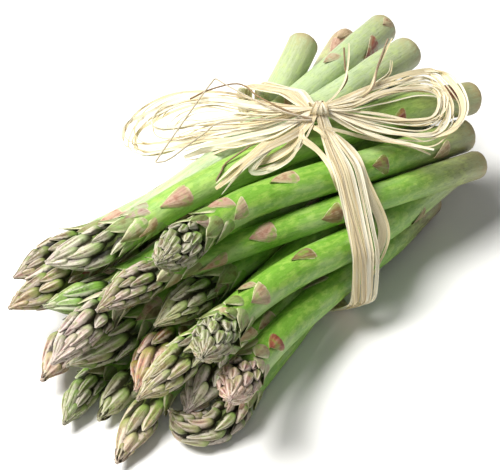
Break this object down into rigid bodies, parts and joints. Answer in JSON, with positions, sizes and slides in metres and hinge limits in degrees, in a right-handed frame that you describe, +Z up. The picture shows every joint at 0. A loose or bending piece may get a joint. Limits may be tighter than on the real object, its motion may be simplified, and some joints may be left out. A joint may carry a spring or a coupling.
{
  "type": "bundle of asparagus",
  "caption": "Bundle of green asparagus spears lying on its side, tied round the middle with raffia in a loose bow.",
  "frame": {"origin": "on the resting surface, on the flat underside of the raffia band, below the tie", "axes": "+X along the bundle towards the cut ends, tips towards -X; +Z up; +Y to the side that the bow's left loop hangs over"},
  "size_m": [0.2477, 0.1607, 0.0798],
  "materials": {
    "spear_green": "satin waxy skin, mauve-tan scales",
    "spear_pale": "satin waxy skin, paler towards the cut end",
    "raffia": "dry fibrous strip, matt"
  },
  "bodies": {
    "root": {"spear_01": "spear_pale", "spear_02": "spear_pale", "spear_03": "spear_green", "spear_04": "spear_green", "spear_05": "spear_green", "spear_06": "spear_green", "spear_07": "spear_green", "spear_08": "spear_green", "spear_09": "spear_green", "spear_10": "spear_green", "spear_11": "spear_green", "spear_12": "spear_green", "spear_13": "spear_green", "spear_14": "spear_green", "spear_15": "spear_green", "spear_16": "spear_green", "spear_17": "spear_green", "spear_18": "spear_green", "spear_19": "spear_green", "spear_20": "spear_pale", "spear_21": "spear_pale", "spear_22": "spear_green", "spear_23": "spear_green", "spear_24": "spear_green", "spear_25": "spear_green", "raffia_band": "raffia", "raffia_bow": "raffia"}
  },
  "joints": []
}
